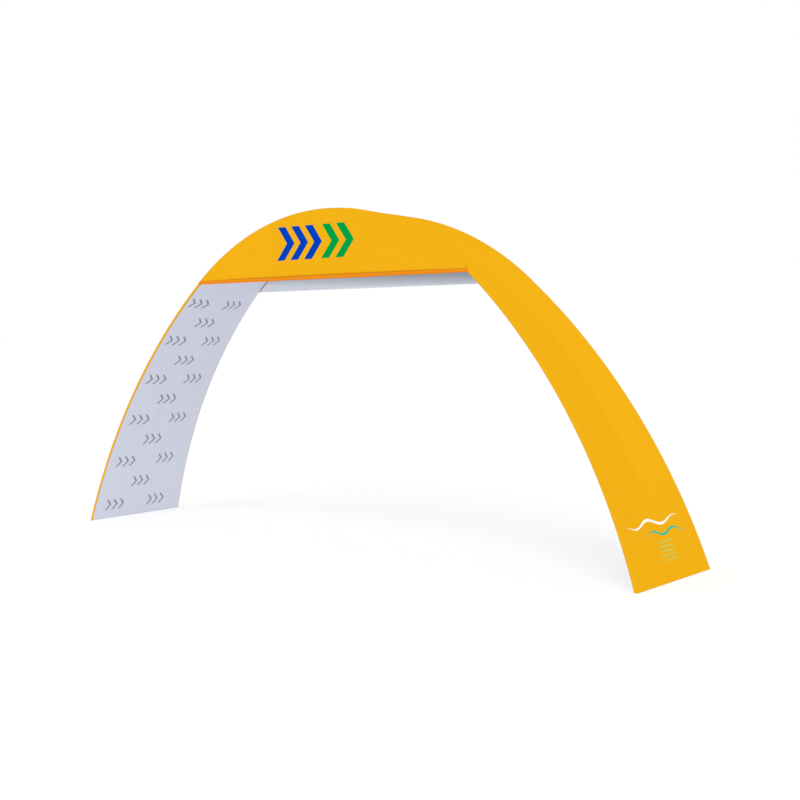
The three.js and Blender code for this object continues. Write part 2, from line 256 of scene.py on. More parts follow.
def soft_folds(table, length, across, width):
    """The folds of a table, added up at one place. Each fades out at both of its ends."""
    total = 0
    for start, end, across_start, across_end, half_width, rise in table:
        part = (length - start) / (end - start)
        if 0 < part < 1:
            off = (across - across_start - (across_end - across_start) * part) * width
            total += rise * math.sqrt(math.sin(math.pi * part)) * math.exp(-((off / half_width) ** 2))
    return total


print(len(OUTER_FOLDS), "folds outside and", len(INNER_FOLDS), "folds inside")

# %% [markdown]
# ## The two skins
#
# Each skin is one long strip of knit. The yellow one lies over the outside of the arch and
# goes round both tubes to a seam on their inner side; the grey one closes the inside, from
# seam to seam. Both are hemmed at the ground.
#
# The strip starts as a flat grid, as it would on the cutting table, and each of its corners is
# moved to its place on the arch. Its print map keeps the place it had on the table, in metres,
# so that a pattern follows the cloth. A Solidify modifier gives it its thickness.

# %% A helper that lays a grid of cloth
JOINED = 0.00005  # corners nearer to each other than this become one


def lay_cloth(name, columns, rows, place, on_table, thickness):
    """Moves each corner of a flat grid to place(column, row), and keeps what on_table(column,
    row) gives: metres across, metres along, and metres from the nearest seam."""
    cloth = bmesh.new()
    bmesh.ops.create_grid(cloth, x_segments=columns, y_segments=rows, size=1)
    from_seam = cloth.verts.layers.float.new("from_seam")
    flat = {}
    for corner in cloth.verts:
        column = round((corner.co.x + 1) / 2 * columns)
        row = round((corner.co.y + 1) / 2 * rows)
        across, along, corner[from_seam] = on_table(column, row)
        flat[corner] = (across, along)
        corner.co = place(column, row)
    print_map = cloth.loops.layers.uv.new("print")
    for face in cloth.faces:
        face.smooth = True
        for loop in face.loops:
            loop[print_map].uv = flat[loop.vert]
    bmesh.ops.remove_doubles(cloth, verts=cloth.verts, dist=JOINED)
    mesh = bpy.data.meshes.new(name)
    cloth.to_mesh(mesh)
    cloth.free()
    piece = bpy.data.objects.new(name, mesh)
    bpy.context.scene.collection.objects.link(piece)
    thick = piece.modifiers.new("thickness", "SOLIDIFY")
    thick.thickness = thickness
    thick.offset = -1
    return piece


def share(count, start, end):
    """count + 1 even steps from start to end."""
    return [start + (end - start) * k / count for k in range(count + 1)]


# %% Places across and along a skin
SEAM = math.radians(159)  # from outermost, round a tube to the seam
TUCKED = 0.0012  # how far the edge of a skin is tucked in at its seam
FOLD_ROOM = 6  # next to a tube, folds fade out over a sixth of the width
HEM = 0.030
HEM_LAYER = 0.0011  # how far the second layer of a hem makes it stand out
HEM_STEP = 0.004  # how far below its upper edge a hem has its full thickness
HEM_STITCH = 0.024  # height of its line of stitching
HEM_PULL = 0.0007  # how far the stitching pulls it in
PULL_REACH = 0.0015  # how far that shows above and below the stitching
GROUNDED = 0.0008  # height of a hem's outer line, so that its lower side just meets the ground

# Rows run from -1 at the left hem over the top to 1 at the right hem. Those of a hem lie closer
# near its upper edge, where it is stitched.
to_hem = 1 - HEM / HALF_LENGTH
hem_rows = [to_hem + (1 - to_hem) * part for part in (0.04, 0.1, 0.17, 0.24, 0.4, 0.7, 0.94, 1)]
skin_rows = [-row for row in reversed(hem_rows)] + share(260, -to_hem, to_hem) + hem_rows
print(len(skin_rows) - 1, "rows of cells along a skin")


def hem_rise(part):
    """A hem is two layers, with a line of stitching that pulls it in near its top."""
    from_ground = (1 - abs(part)) * HALF_LENGTH
    if from_ground > HEM:
        return 0
    swell = HEM_LAYER * min(1, (HEM - from_ground) / HEM_STEP)
    return swell - HEM_PULL * math.exp(-(((from_ground - HEM_STITCH) / PULL_REACH) ** 2))


def round_tube(face, part, turn, radius):
    """On the sleeve round a tube, turned from outermost by an angle over the face."""
    inset = SLEEVE - radius * math.cos(turn)
    length = part * length_at(face, 0, inset)
    x, z = arch_line(face, length, inset)
    depth = face * (face_depth(z) - SLEEVE + radius * math.sin(turn))
    return Vector((x, depth, max(z, GROUNDED)))


def between_tubes(part, across, inset, shape, folds, outward):
    """On the span of a skin, between the tangents to its two tubes. outward is 1 or -1."""
    length = part * HALF_LENGTH
    width = 2 * face_depth(arch_line(-1, length, 0)[1])
    held = min(1, across * FOLD_ROOM, (1 - across) * FOLD_ROOM)
    rise = held * soft_folds(folds, length, across, width)
    inset += drawn(length) * shape(length, across) - outward * (rise + hem_rise(part))
    ends = []
    for face in (-1, 1):
        x, z = arch_line(face, part * length_at(face, 0, inset), inset)
        ends.append(Vector((x, face * (face_depth(z) - SLEEVE), max(z, GROUNDED))))
    return ends[0].lerp(ends[1], across)


def on_strip(where, value, part, edge):
    """Where a place was on the cutting table: across, along and from the nearest seam. edge is
    how much cloth there is past the tangent to each tube."""
    length = part * HALF_LENGTH
    half = face_depth(arch_line(-1, length, 0)[1]) - SLEEVE
    across = (value * 2 - 1) * half if where == 0 else where * (half + value * SLEEVE)
    return across, length, half + edge - abs(across)


# %% The outer skin
wrap = share(10, SEAM, 0)
span = share(120, 0, 1)[1:-1]
outer_columns = [(1, turn) for turn in wrap] + [(0, s) for s in reversed(span)]
outer_columns += [(-1, turn) for turn in reversed(wrap)]


def outer_place(column, row):
    where, value = outer_columns[column]
    part = skin_rows[row]
    if where == 0:
        return between_tubes(part, value, 0, valley, OUTER_FOLDS, 1)
    tucked = TUCKED if value == SEAM else 0
    return round_tube(where, part, value, SLEEVE + hem_rise(part) - tucked)


def outer_flat(column, row):
    where, value = outer_columns[column]
    return on_strip(where, value, skin_rows[row], SEAM * SLEEVE)


CLOTH = 0.0010  # thickness of the knit
outer_skin = lay_cloth(
    "cover_outside", len(outer_columns) - 1, len(skin_rows) - 1, outer_place, outer_flat, CLOTH)
print(f"outer skin: {len(outer_skin.data.polygons)} cells")

# %% The inner skin
SEAM_GAP = 0.0003  # between the edges of the two skins, where they are sewn together
tuck = share(4, SEAM + SEAM_GAP / SLEEVE, math.pi)
inner_columns = [(-1, turn) for turn in tuck] + [(0, s) for s in span]
inner_columns += [(1, turn) for turn in reversed(tuck)]


def inner_place(column, row):
    where, value = inner_columns[column]
    part = skin_rows[row]
    if where == 0:
        return between_tubes(part, value, 2 * SLEEVE, even, INNER_FOLDS, -1)
    tucked = TUCKED if value == tuck[0] else 0
    return round_tube(where, part, value, SLEEVE + hem_rise(part) - tucked)


def inner_flat(column, row):
    where, value = inner_columns[column]
    turned_in = value if where == 0 else math.pi - value
    return on_strip(where, turned_in, skin_rows[row], (math.pi - tuck[0]) * SLEEVE)


inner_skin = lay_cloth(
    "cover_inside", len(inner_columns) - 1, len(skin_rows) - 1, inner_place, inner_flat, CLOTH)
print(f"inner skin: {len(inner_skin.data.polygons)} cells")

# %% [markdown]
# ## The headers
#
# The head of the arch is closed in front and behind by a flat panel with a straight lower edge
# and an arched top. It lies on the face of the sleeve, so the panel leans as the tubes do, and
# its arched edge is taken round the sleeve and sewn near the outer line. Filling an outline
# would give one big face with no cells to shape, so a grid is used again: its columns end on
# the arch, and the outermost ones shrink to the pointed corner.

# %% A header panel
PANEL_PROUD = 0.0016  # outer side of a panel, in front of the sleeve
PANEL_HEIGHT = 0.6  # about; the folds of a panel are placed by parts of it
HELD_AT_TOP = 0.05  # how far below the arched edge the folds have faded in
HELD_AT_EDGE = 0.02  # and how far above the lower edge

# Rows as for the skins, with lengths to the right of the middle and parts of the way up
FRONT_FOLDS = [
    (-1.56, -0.55, 0.02, 0.16, 0.022, 0.0011),
    (-1.50, -0.45, 0.06, 0.36, 0.026, -0.0010),
    (-1.45, -0.60, 0.10, 0.62, 0.024, 0.0009),
    (0.50, 1.56, 0.18, 0.03, 0.022, 0.0011),
    (0.62, 1.52, 0.40, 0.07, 0.026, -0.0010),
    (0.70, 1.46, 0.66, 0.12, 0.024, 0.0009),
]
BACK_FOLDS = [
    (-1.60, -0.40, 0.03, 0.10, 0.030, 0.0016),
    (-1.55, -0.70, 0.08, 0.34, 0.026, -0.0012),
    (0.35, 1.60, 0.12, 0.03, 0.030, 0.0016),
    (0.75, 1.55, 0.38, 0.08, 0.026, -0.0012),
]
REACH = math.radians(30)  # round the sleeve, from outermost to the arched edge of a panel
rim_turns = share(5, QUARTER, REACH)[1:]


def header(name, face, bottom, folds):
    """The panel in the front (-1) or back (1) arch, down to the height bottom."""
    corner = length_at(face, bottom, SLEEVE)
    columns = share(120, face * corner, -face * corner)  # so that both panels face outwards
    rows = share(28, 0, 1) + rim_turns
    flat_rows = len(rows) - len(rim_turns)
    radius = SLEEVE + PANEL_PROUD
    turned = (QUARTER - REACH) * radius  # cloth from the flat part to the arched edge

    def place(column, row):
        if row >= flat_rows:
            inset = SLEEVE - radius * math.cos(rows[row])
            x, z = arch_line(face, columns[column], inset)
            return Vector((x, face * (face_depth(z) - SLEEVE + radius * math.sin(rows[row])), z))
        x, top = arch_line(face, columns[column], SLEEVE)
        z = bottom + (top - bottom) * rows[row]
        held = min(1, (top - z) / HELD_AT_TOP, (z - bottom) / HELD_AT_EDGE)
        rise = held * soft_folds(folds, x, (z - bottom) / PANEL_HEIGHT, PANEL_HEIGHT)
        return Vector((x, face * (face_depth(z) + PANEL_PROUD + rise), z))

    def on_table(column, row):
        x, top = arch_line(face, columns[column], SLEEVE)
        if row >= flat_rows:
            past = (QUARTER - rows[row]) * radius
            angle = direction(columns[column])
            sideways = math.copysign(past * math.sin(angle), x)
            return x + sideways, top + past * math.cos(angle), turned - past
        z = bottom + (top - bottom) * rows[row]
        return x, z, turned + (top - z) * math.cos(direction(columns[column]))

    return lay_cloth(name, len(columns) - 1, len(rows) - 1, place, on_table, CLOTH)


front_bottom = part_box("front_header")[0].z
back_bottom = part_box("back_header")[0].z
front_header = header("header_front", -1, front_bottom, FRONT_FOLDS)
back_header = header("header_back", 1, back_bottom, BACK_FOLDS)
print(f"the headers come down to {front_bottom:.3f} m in front and {back_bottom:.3f} m behind")

# %% [markdown]
# ## The pocket for the rod
#
# A straight rod keeps the lower edge of the front header level. It lies in an orange strip that
# is folded round it and sewn to both sides of the panel. The rod ends short of the sleeves, but
# the strip goes on across their front, lies flatter there and is sewn shut at its square ends.
#
# The strip is laid on the same way as the skins. Its columns follow a profile round the rod,
# which is a tear drop: round under the rod, and straight from its sides up to the seams. In
# front of a sleeve its back is kept clear of the sleeve's own round.

# %% The room for the pocket
pocket_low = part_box("rod_pocket")[0]
rod_z = pocket_low.z + SLEEVE
POCKET_INSET = 0.013  # from the outer line of the arch to the square end of the pocket


def inset_at(x, z):
    """How far a place is from the outer line of the front arch."""
    if math.atan2(abs(x), z - crown_z) < CROWN_HALF:
        return CROWN_RADIUS - math.hypot(x, z - crown_z)
    return LEG_RADIUS - math.hypot(abs(x) - leg_x, z - leg_z)


def room_behind(x, z):
    """How far behind the face the back of the pocket can go, in front of the sleeve."""
    off = min(1, max(0, (inset_at(x, z) - SLEEVE) / SLEEVE))
    return SLEEVE * (1 - math.sqrt(1 - off ** 2))


def ramp(value, start, end):
    """0 before start and 1 after end, with a smooth turn at both."""
    part = min(1, max(0, (value - start) / (end - start)))
    return part * part * (3 - 2 * part)


SHUT = 0.06  # how full the pocket is at its sewn end, where 1 is round
EMPTY = 0.32  # and between that and the rod
OPEN = 0.006  # how far from its end it is open
ROD_FILLS = (0.012, 0.055)  # over what distance from its end the rod makes it round


def fullness(from_end):
    """How round the front of the pocket is: sewn shut at its end, round where the rod is."""
    opened = (EMPTY - SHUT) * ramp(from_end, 0, OPEN)
    return SHUT + opened + (1 - EMPTY) * ramp(from_end, *ROD_FILLS)


print(f"the middle of the pocket is {rod_z:.3f} m up")

# %% The profile round the rod
SEAM_HEIGHT = SLEEVE + 0.0005  # above the middle of the pocket, just over the edge of the panel
SEAM_DEPTH = 0.0016  # of each seam, before and behind the middle of the panel
LOWERED = 0.0009  # how far the round stretch is set below the middle of the pocket
ROUND = SLEEVE - LOWERED  # radius of the round stretch under the rod
leaves = math.acos(ROUND / (SEAM_HEIGHT + LOWERED))  # where the strip leaves the round


def round_rod(turn):
    """Depth and height of the strip, turned from its front seam, under the rod to the back."""
    side = -1 if turn < math.pi else 1
    past = min(turn, 2 * math.pi - turn) / leaves
    angle = max(past, 1) * leaves
    depth = ROUND * math.sin(angle)
    height = ROUND * math.cos(angle) - LOWERED
    if past < 1:
        depth = SEAM_DEPTH + (depth - SEAM_DEPTH) * past
        height = SEAM_HEIGHT + (height - SEAM_HEIGHT) * past
    return side * depth, height


profile = [round_rod(turn) for turn in share(32, 0, 2 * math.pi)]
STRIP = sum(math.dist(here, after) for here, after in zip(profile, profile[1:]))
print(f"the pocket is made of a strip {STRIP * 1000:.0f} mm wide")

# %% The rod pocket
POCKET_CLOTH = 0.0009  # thickness of the orange knit
THINNEST = 0.0012  # least depth of the front of the pocket
CLEAR = 0.0010  # more room for the panel, where the pocket lies before a sleeve
ROOM_USED = 0.97  # the part of the room behind it that the pocket takes
PUCKER = 0.0003  # the stitching puckers the strip a little
PUCKER_ALONG = 2.1  # how fast the puckers turn from row to row, in radians
PUCKER_AROUND = 0.9  # and from column to column
END_STRETCH = 0.072  # at each end the rows lie closer, because the pocket changes shape there

pocket_half = arch_line(-1, length_at(-1, rod_z, POCKET_INSET), POCKET_INSET)[0]
end_rows = [1 - from_end / pocket_half for from_end in share(24, END_STRETCH, 0)]
middle_rows = share(90, -end_rows[0], end_rows[0])[1:-1]
pocket_rows = [-row for row in reversed(end_rows)] + middle_rows + end_rows


def pocket_place(column, row):
    depth, z = profile[column]
    z += rod_z
    x = pocket_half * pocket_rows[row]
    room = room_behind(x, z)
    clear = PANEL_PROUD + CLEAR if room < SLEEVE else 0
    if column < len(profile) / 2:
        depth = min(depth * fullness(pocket_half - abs(x)), -THINNEST) - clear
    else:
        depth = min(depth, room * ROOM_USED) - (clear if z > front_bottom else 0)
    pucker = PUCKER * math.sin(row * PUCKER_ALONG) * math.cos(column * PUCKER_AROUND)
    return Vector((x, depth + pucker - face_depth(z) - PANEL_PROUD + CLOTH / 2, z))


def pocket_flat(column, row):
    around = (column / (len(profile) - 1) - 0.5) * STRIP
    return around, pocket_half * pocket_rows[row], STRIP / 2 - abs(around)


pocket = lay_cloth(
    "rod_sleeve", len(profile) - 1, len(pocket_rows) - 1, pocket_place, pocket_flat, POCKET_CLOTH)
print(f"the pocket is {pocket_half * 2:.3f} m long")

# %% [markdown]
# ## Knitted polyester
#
# Close up, the cover is a fine knit: upright columns of loops with a groove between them. From
# a few steps away it is a smooth matt colour, a little uneven where the dye took better. Loops,
# stitches and prints are sums on the cloth's own print map, in metres, so that they run with the
# cloth. Only the uneven dye is soft noise in the piece's own space.
#
# Image textures would hold it too, but they blur close up. Sums of sines and a few
# comparisons stay sharp at any distance. The helper cell below only makes the node sums short
# to write.

# %% Helpers for node sums
class Sums:
    """Writes sums with the nodes of one material."""

    def __init__(self, name):
        self.material = bpy.data.materials.new(name)
        self.material.use_nodes = True
        self.nodes = self.material.node_tree.nodes
        self.links = self.material.node_tree.links
        self.shader = self.nodes["Principled BSDF"]

    def put(self, socket, value):
        """Links a node's output to the socket, or writes a plain value there."""
        if isinstance(value, bpy.types.NodeSocket):
            self.links.new(value, socket)
        else:
            socket.default_value = value

    def do(self, operation, *values):
        """The result of one Math node."""
        node = self.nodes.new("ShaderNodeMath")
        node.operation = operation
        for socket, value in zip(node.inputs, values):
            self.put(socket, value)
        return node.outputs[0]

    def inside(self, value, start, end):
        """1 where value lies between start and end, and 0 elsewhere."""
        return self.do("MULTIPLY", self.do("GREATER_THAN", value, start), self.do("LESS_THAN", value, end))

    def both(self, first, second):
        """1 where both masks are 1."""
        return self.do("MULTIPLY", first, second)

    def blend(self, mask, under, over):
        """The colour under, with the colour over where the mask is 1."""
        node = self.nodes.new("ShaderNodeMix")
        node.data_type = "RGBA"
        for socket, value in ((node.inputs[0], mask), (node.inputs[6], under), (node.inputs[7], over)):
            self.put(socket, value)
        return node.outputs[2]

    def noise(self, scale, stretch, detail=2):
        """Soft patches between 0 and 1, that lie still on the piece."""
        place = self.nodes.new("ShaderNodeTexCoord").outputs["Object"]
        mapping = self.nodes.new("ShaderNodeMapping")
        mapping.inputs["Scale"].default_value = stretch
        self.links.new(place, mapping.inputs["Vector"])
        node = self.nodes.new("ShaderNodeTexNoise")
        node.inputs["Scale"].default_value = scale
        node.inputs["Detail"].default_value = detail
        self.links.new(mapping.outputs["Vector"], node.inputs["Vector"])
        return node.outputs["Fac"]


def paint(red, green, blue):
    """A colour as it is written in a paint chart, 0 to 255, made linear."""
    parts = [value / 255 for value in (red, green, blue)]
    return [p / 12.92 if p < 0.04045 else ((p + 0.055) / 1.055) ** 2.4 for p in parts] + [1]


YELLOW = paint(241, 177, 23)
PALE_GREY = paint(219, 222, 237)
# the pale knit again, painted lighter for the back lining: painted light that makes up for the shade inside
# the head of the arch
LIT_PALE_GREY = paint(243, 248, 255)
ORANGE = paint(233, 143, 40)
print("yellow cloth is", [round(c, 3) for c in YELLOW[:3]])


# %% The knit
WALE = 0.0013  # from one column of loops to the next
COURSE = 0.0010  # from one row of loops to the next
LOOP_LEAN = 1.2  # how far a loop runs ahead in the middle of its column, in radians of a row
LOOP_HEIGHT = 0.35  # how high the rows stand, where the columns stand 1
GROOVE_SHADE = 0.10  # how dark painted shade makes the groove between two columns
PATCHES = 1.3  # how many lighter and darker patches there are to a metre
UNEVEN = 0.03  # how much lighter the lightest patch is than the darkest
STITCH = 0.0045  # from one stitch to the next
DASH = 0.72  # the part of it in which the thread shows
SEWN = (0.0052, 0.0064)  # where the stitching along a seam lies, from the edge of the cloth
HALF_THREAD = 0.0006  # half the width of a thread
STITCH_HEIGHT = 2.0  # how high a thread stands, where the columns of loops stand 1
CORNER_SHADE_BAND = (0.017, 0.034)  # where a dashed dark band of painted shade lies, for the corner where a lining meets the sleeve, from the edge of the lining
CORNER_SHADE_GAPS = 0.3  # how much of the lining shows through each gap in that painted shade
RIM_SHADE_DEPTH = 0.06  # how much painted shade darkens the knit where it turns round a tube, to even out the brighter turn
TURN_WIDTH = 0.012  # how far to each side that goes off
SHADE = (0.007, 0.12)  # heights over the edge of the back header between which its lining greys
SHADED = 0.5  # and how light it is above them
SHADE_TILT = 0.031  # how much lower the shade starts, for each metre to the right


def knit(name, colour, thread, prints=(), rim_shade_at=None, corner_shade=None, shaded=False):
    """A finish for knitted cloth. Each of prints is (a function that makes the mask, a colour).
    The argument after prints is how far from the edge the knit turns round a tube, where painted
    shade darkens it to even out the brighter turn. The next is the grey of a dashed dark band along
    the seam: painted shade for the corner where a lining meets the sleeve. The last is for a lining
    that painted shade darkens towards the head of the arch and towards its right end."""
    sums = Sums(name)
    strip = sums.nodes.new("ShaderNodeSeparateXYZ")
    uv = sums.nodes.new("ShaderNodeUVMap")
    uv.uv_map = "print"
    sums.links.new(uv.outputs["UV"], strip.inputs[0])
    across, along = strip.outputs["X"], strip.outputs["Y"]
    seam = sums.nodes.new("ShaderNodeAttribute")
    seam.attribute_name = "from_seam"
    from_seam = seam.outputs["Fac"]

    tone = sums.do("MULTIPLY_ADD", sums.noise(PATCHES, (1, 1, 1)), UNEVEN, 1 - UNEVEN / 2)
    # painted shade on the turn round a tube, which evens out its brighter rim
    if rim_shade_at:
        off = sums.do("DIVIDE", sums.do("SUBTRACT", from_seam, rim_shade_at), TURN_WIDTH)
        near = sums.do("POWER", math.e, sums.do("MULTIPLY", sums.do("MULTIPLY", off, off), -1))
        tone = sums.do("MULTIPLY", tone, sums.do("MULTIPLY_ADD", near, -RIM_SHADE_DEPTH, 1))
    # painted shade on a lining: darker towards the head of the arch and towards its right end
    if shaded:
        fade = sums.nodes.new("ShaderNodeMapRange")
        sums.put(fade.inputs["Value"], sums.do("MULTIPLY_ADD", across, SHADE_TILT, along))
        fade.inputs["From Min"].default_value = back_bottom + SHADE[0]
        fade.inputs["From Max"].default_value = back_bottom + SHADE[1]
        fade.inputs["To Min"].default_value = 1.0
        fade.inputs["To Max"].default_value = SHADED
        tone = sums.do("MULTIPLY", tone, fade.outputs["Result"])
    cloth = sums.nodes.new("ShaderNodeVectorMath")
    cloth.operation = "SCALE"
    cloth.inputs[0].default_value = colour[:3]
    sums.links.new(tone, cloth.inputs["Scale"])
    shade = cloth.outputs[0]
    for mask, ink in prints:
        shade = sums.blend(mask(sums, across, along), shade, ink)

    wales = sums.do("ABSOLUTE", sums.do("SINE", sums.do("MULTIPLY", across, math.pi / WALE)))
    lean = sums.do("MULTIPLY", wales, LOOP_LEAN)
    loops = sums.do("ABSOLUTE", sums.do("SINE", sums.do("MULTIPLY_ADD", along, math.pi / COURSE, lean)))
    height = sums.do("MULTIPLY_ADD", loops, LOOP_HEIGHT, wales)
    # painted shade in the groove between two columns of loops
    groove = sums.do("MULTIPLY", sums.do("SUBTRACT", 1, wales), GROOVE_SHADE)

    sewn = sums.inside(from_seam, *SEWN)
    dash = sums.do("LESS_THAN", sums.do("FRACT", sums.do("DIVIDE", along, STITCH)), DASH)
    from_ground = sums.do("SUBTRACT", HALF_LENGTH, sums.do("ABSOLUTE", along))
    hem = sums.inside(from_ground, HEM_STITCH - HALF_THREAD, HEM_STITCH + HALF_THREAD)
    hem_dash = sums.do("LESS_THAN", sums.do("FRACT", sums.do("DIVIDE", across, STITCH)), DASH)
    stitched = sums.do("MAXIMUM", sums.both(sewn, dash), sums.both(hem, hem_dash))
    shade = sums.blend(groove, shade, (0, 0, 0, 1))
    shade = sums.blend(stitched, shade, thread)
    # painted shade for the corner where a lining meets the sleeve: a dashed dark band along the seam
    if corner_shade:
        corner_shade_dashes = sums.do("SUBTRACT", 1, sums.do("MULTIPLY", dash, CORNER_SHADE_GAPS))
        band = sums.inside(from_seam, *CORNER_SHADE_BAND)
        shade = sums.blend(sums.both(band, corner_shade_dashes), shade, corner_shade)
    sums.put(sums.shader.inputs["Base Color"], shade)

    bump = sums.nodes.new("ShaderNodeBump")
    bump.inputs["Strength"].default_value = 0.5
    bump.inputs["Distance"].default_value = 0.0002
    sums.put(bump.inputs["Height"], sums.do("MULTIPLY_ADD", stitched, STITCH_HEIGHT, height))
    sums.links.new(bump.outputs["Normal"], sums.shader.inputs["Normal"])
    sums.shader.inputs["Roughness"].default_value = 0.85
    sums.shader.inputs["Specular IOR Level"].default_value = 0.0
    return sums.material


print(f"{0.01 / WALE:.0f} columns and {0.01 / COURSE:.0f} rows of loops to a centimetre")

# %% [markdown]
# ## What is printed on it
#
# The prints are plain signs: arrowheads in rows, bars and waves. Each is a mask, a sum that
# is 1 on the ink and 0 off it.
#
# An arrowhead is a band that leans one way above its middle line and the other way below it,
# so adding the distance from that line to the length bends the band by itself.

# %% Masks for the prints
SWEPT_BACK = 0.8  # how far back an arm of an arrowhead reaches, for each metre up or down


def arrowheads(sums, across, along, half_height, period, count, band):
    """A row of arrowheads from across = 0 to the right. band is the inked part of a period."""
    off = sums.do("ABSOLUTE", along)
    bent = sums.do("MULTIPLY_ADD", off, SWEPT_BACK, across)
    bands = sums.do("LESS_THAN", sums.do("FRACT", sums.do("DIVIDE", bent, period)), band)
    row = sums.both(sums.inside(bent, 0, period * count), sums.do("LESS_THAN", off, half_height))
    return sums.both(bands, row)


def wave(sums, across, along, start, end, height, swing, length, thick):
    """A wavy stroke, thick in its middle and fine at its ends."""
    part = sums.do("DIVIDE", sums.do("SUBTRACT", across, start), end - start)
    swell = sums.do("MULTIPLY", sums.do("SINE", sums.do("MULTIPLY", part, math.pi)), thick)
    line = sums.do("MULTIPLY", sums.do("SINE", sums.do("MULTIPLY", across, 2 * math.pi / length)), swing)
    off = sums.do("ABSOLUTE", sums.do("SUBTRACT", sums.do("SUBTRACT", along, height), line))
    return sums.both(sums.do("LESS_THAN", off, swell), sums.inside(part, 0, 1))


# %% The marks inside the legs
ROW_PITCH = 0.252
FIRST_ROW = 1.90  # from the top of the arch, along the leg
ROWS = 11
MARK_APART = 0.205  # from the middle of a leg to the marks of the first row of two
SPREAD = 0.022  # how much further apart they are one metre down, where the leg is wider
MARK_START = -0.125  # from the middle of a mark's place to its start, on its middle line


def rows_of_marks(sums, across, along):
    """Rows of two marks and of one, in turn, down the inside of each leg."""
    down = sums.do("SUBTRACT", sums.do("ABSOLUTE", along), FIRST_ROW)
    row = sums.do("FLOOR", sums.do("DIVIDE", down, ROW_PITCH))
    in_row = sums.do("SUBTRACT", down, sums.do("MULTIPLY", sums.do("ADD", row, 0.5), ROW_PITCH))
    single = sums.do("MODULO", row, 2)
    double = sums.do("SUBTRACT", 1, single)
    apart = sums.do("MULTIPLY", double, sums.do("MULTIPLY_ADD", down, SPREAD, MARK_APART))
    off = sums.do("SUBTRACT", sums.do("ABSOLUTE", across), apart)
    mirrored = sums.do("MULTIPLY", off, sums.do("SIGN", across))
    from_middle = sums.do("ADD", sums.do("MULTIPLY", mirrored, double), sums.do("MULTIPLY", across, single))
    legs = sums.inside(row, -0.5, ROWS - 0.5)
    mark = arrowheads(
        sums, sums.do("SUBTRACT", from_middle, MARK_START), in_row,
        half_height=0.058, period=0.080, count=3, band=0.30)
    return sums.both(mark, legs)


print(ROWS, "rows of marks inside each leg, of two and of one in turn")

# %% The sign on the front header
SIGN_HEIGHT = 0.30  # middle of the sign, above the lower edge of the panel


def header_sign(start, count):
    """A mask for a run of the sign's arrowheads, from start metres to the right of the middle."""
    def mask(sums, across, along):
        off_middle = sums.do("SUBTRACT", along, front_bottom + SIGN_HEIGHT)
        from_start = sums.do("SUBTRACT", across, start)
        return arrowheads(
            sums, from_start, off_middle, half_height=0.15, period=0.17, count=count, band=0.56)
    return mask


print(f"the middle of the sign is {front_bottom + SIGN_HEIGHT:.2f} m up")

# %% The foot of the right leg, and painted light on the strip
BAR_PITCH = 0.036
BAR = 0.30  # the part of a pitch that is inked
BARS_ACROSS = (-0.06, 0.16)  # the ends of the bars, from the middle of the leg
BARS_ABOVE = (0.16, 0.32)  # how far up the leg from the ground they lie


def foot_white(sums, across, along):
    return wave(
        sums, across, along, start=-0.44, end=0.36,
        height=HALF_LENGTH - 0.47, swing=0.024, length=0.40, thick=0.012)


def foot_teal(sums, across, along):
    return wave(
        sums, across, along, start=-0.20, end=0.40,
        height=HALF_LENGTH - 0.38, swing=0.020, length=0.30, thick=0.011)


def foot_bars(sums, across, along):
    lines = sums.do("LESS_THAN", sums.do("FRACT", sums.do("DIVIDE", along, BAR_PITCH)), BAR)
    low_high = sums.inside(along, HALF_LENGTH - BARS_ABOVE[1], HALF_LENGTH - BARS_ABOVE[0])
    return sums.both(lines, sums.both(sums.inside(across, *BARS_ACROSS), low_high))


def strip_painted_light(sums, across, along):
    """Painted light and shade on the orange strip: lighter from half way down its front, darker above."""
    return sums.do("GREATER_THAN", across, -STRIP / 4)


print(f"the strip is brighter after its first {STRIP / 4 * 1000:.0f} mm")

# %% The finishes of the cloth
BLUE = paint(1, 65, 185)
GREEN = paint(1, 160, 70)
MARK_GREY = paint(150, 153, 162)
WHITE = paint(250, 249, 245)
TEAL = paint(66, 187, 155)
PALE_BAR = paint(195, 204, 98)
# painted light on the lower part of the orange strip; its upper front keeps the darker orange as painted
# shade
LIT_ORANGE = paint(251, 141, 0)
YELLOW_THREAD = paint(222, 158, 14)
PALE_THREAD = paint(196, 199, 214)
ORANGE_THREAD = paint(214, 112, 8)
# grey of the painted shade in the corner where a lining meets the sleeve
CORNER_SHADE_GREY = paint(96, 98, 108)
PANEL_RIM_SHADE_AT = 0.004  # from the arched edge of a header to the middle of its turn round the sleeve, where painted shade lies
SKIN_RIM_SHADE_AT = 0.030  # from the seam to the middle of the outer skin's turn round a tube, where painted shade lies

arrow_sign = [(header_sign(-0.44, 3), BLUE), (header_sign(0.11, 2), GREEN)]
foot_design = [(foot_bars, PALE_BAR), (foot_white, WHITE), (foot_teal, TEAL)]
plain_yellow = knit("yellow_knit", YELLOW, YELLOW_THREAD, (), PANEL_RIM_SHADE_AT)
outside_finish = knit("yellow_knit_printed", YELLOW, YELLOW_THREAD, foot_design, SKIN_RIM_SHADE_AT)
front_finish = knit("yellow_knit_header", YELLOW, YELLOW_THREAD, arrow_sign, PANEL_RIM_SHADE_AT)
inside_finish = knit("pale_knit_printed", PALE_GREY, PALE_THREAD, [(rows_of_marks, MARK_GREY)])
plain_pale = knit("pale_knit", PALE_GREY, PALE_THREAD)
front_lining = knit("pale_knit_front", PALE_GREY, PALE_THREAD, corner_shade=CORNER_SHADE_GREY)
back_lining = knit("pale_knit_back", LIT_PALE_GREY, PALE_THREAD, corner_shade=CORNER_SHADE_GREY, shaded=True)
orange_finish = knit("orange_knit", ORANGE, ORANGE_THREAD, [(strip_painted_light, LIT_ORANGE)])
print("eight finishes of cloth")

